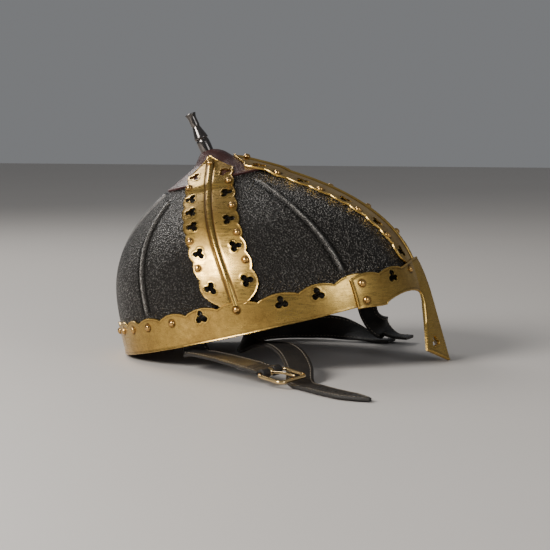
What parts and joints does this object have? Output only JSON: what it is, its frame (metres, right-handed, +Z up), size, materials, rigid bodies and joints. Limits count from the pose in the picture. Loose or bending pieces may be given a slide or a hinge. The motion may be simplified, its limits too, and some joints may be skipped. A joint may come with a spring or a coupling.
{
  "type": "knight helmet",
  "caption": "Round steel helmet of four ribbed plates with pierced brass bands, a nose guard, a plume holder, a leather lining and a buckled chin strap, resting tipped back.",
  "frame": {"origin": "middle of the whole object's footprint, on the surface it lies on; the helmet leans back about 13 degrees, on its rear rim and the tip of the nose guard", "axes": "+X towards the nose guard, +Y towards the wearer's left, +Z up"},
  "size_m": [0.2652, 0.3246, 0.1815],
  "materials": {
    "pebbled_steel": "blackened steel with a hammered, pebbled face",
    "plain_steel": "plain worn steel",
    "dark_polished_steel": "dark polished turned steel",
    "maroon_cap": "dark maroon, finely grained, satin",
    "antique_brass": "antique gold brass, worn bright on the edges, brown in the hollows",
    "brass_rivet": "domed brass heads, polished on top",
    "buckle_brass": "polished brass wire",
    "black_leather": "black leather, stitched along both edges",
    "lining_leather": "brown leather"
  },
  "bodies": {
    "helmet": {"apex_cap": "maroon_cap", "back_strip": "plain_steel", "brow_band": "antique_brass", "brow_rivet_back": "brass_rivet", "brow_rivet_left_1": "brass_rivet", "brow_rivet_left_2": "brass_rivet", "brow_rivet_left_3": "brass_rivet", "brow_rivet_left_4": "brass_rivet", "brow_rivet_left_5": "brass_rivet", "brow_rivet_left_6": "brass_rivet", "brow_rivet_right_1": "brass_rivet", "brow_rivet_right_2": "brass_rivet", "brow_rivet_right_3": "brass_rivet", "brow_rivet_right_4": "brass_rivet", "brow_rivet_right_5": "brass_rivet", "brow_rivet_right_6": "brass_rivet", "crown_nut": "plain_steel", "crown_washer": "plain_steel", "face_plate": "antique_brass", "face_rivet_front_left": "brass_rivet", "face_rivet_front_right": "brass_rivet", "face_rivet_lower_left": "brass_rivet", "face_rivet_lower_right": "brass_rivet", "face_rivet_upper_left": "brass_rivet", "face_rivet_upper_right": "brass_rivet", "far_strap_drop": "black_leather", "far_strap_rivet": "brass_rivet", "far_strap_root": "black_leather", "finial": "dark_polished_steel", "front_band": "antique_brass", "front_band_rivet": "brass_rivet", "liner_lace": "lining_leather", "liner_petal_1": "lining_leather", "liner_petal_2": "lining_leather", "liner_petal_3": "lining_leather", "liner_petal_4": "lining_leather", "liner_petal_5": "lining_leather", "liner_petal_6": "lining_leather", "loop_strap": "black_leather", "near_strap_rivet": "brass_rivet", "near_strap_root": "black_leather", "side_band_left": "antique_brass", "side_band_right": "antique_brass", "side_band_rivet_left": "brass_rivet", "side_band_rivet_right": "brass_rivet", "skull_plate_front_left": "pebbled_steel", "skull_plate_front_right": "pebbled_steel", "skull_plate_rear_left": "pebbled_steel", "skull_plate_rear_right": "pebbled_steel", "sweatband": "lining_leather"},
    "near_strap": {"near_strap": "black_leather", "near_strap_fold_lower": "black_leather", "near_strap_fold_upper": "black_leather"},
    "buckle": {"buckle_frame": "buckle_brass"},
    "prong": {"buckle_prong": "buckle_brass"},
    "strap_tip": {"strap_tip": "black_leather"}
  },
  "joints": [
    {"name": "near_strap_lift", "type": "hinge", "parent": "helmet", "child": "near_strap", "pos_m": [-0.0479, -0.0351, 0.0194], "axis": [-0.922, 0.318, -0.221], "range_deg": [0, 30]},
    {"name": "buckle_swing", "type": "hinge", "parent": "near_strap", "child": "buckle", "pos_m": [0.02591, -0.0998, 0.00934], "axis": [-0.5599, -0.8198, -0.12], "range_deg": [0, 75]},
    {"name": "prong_swing", "type": "hinge", "parent": "buckle", "child": "prong", "pos_m": [0.02591, -0.0998, 0.00934], "axis": [-0.5599, -0.8198, -0.12], "range_deg": [0, 60]},
    {"name": "strap_tip_lift", "type": "hinge", "parent": "helmet", "child": "strap_tip", "pos_m": [0.06011, -0.11702, 0.00312], "axis": [-0.7474, -0.6644, 0], "range_deg": [0, 45]}
  ]
}
